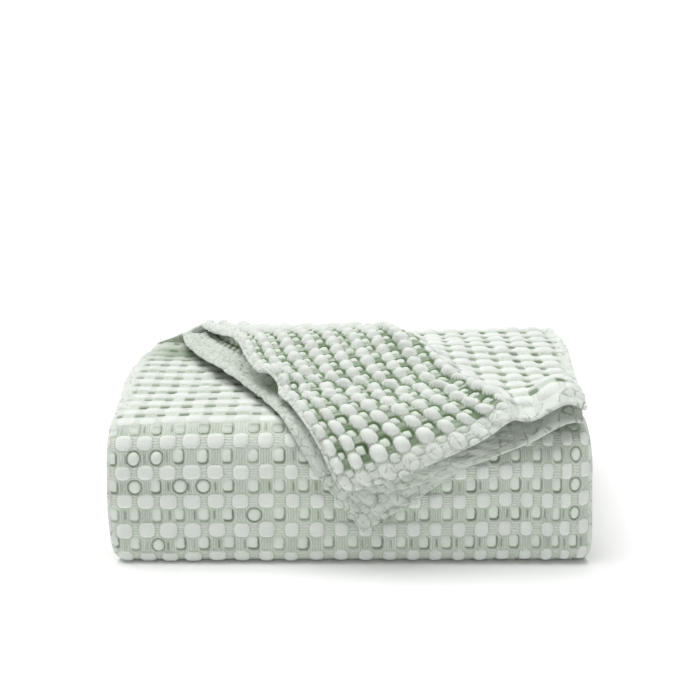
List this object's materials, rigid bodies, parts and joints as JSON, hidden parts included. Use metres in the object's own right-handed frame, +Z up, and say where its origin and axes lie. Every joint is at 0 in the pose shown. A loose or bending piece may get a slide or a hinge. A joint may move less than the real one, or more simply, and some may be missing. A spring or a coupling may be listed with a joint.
{
  "type": "folded throw blanket",
  "caption": "Throw of puckered pillow-weave cloth, folded as a soft box, with a corner pulled forward over its top and front.",
  "frame": {"origin": "on the surface that the folded throw rests on, below the middle of its bounding box", "axes": "+X along the folds, to the right as seen from the front; -Y towards the front that the corner hangs over; +Z up"},
  "size_m": [0.4594, 0.3902, 0.1815],
  "materials": {
    "cloth": "matte puckered cotton"
  },
  "bodies": {
    "root": {"throw_cloth": "cloth"}
  },
  "joints": []
}
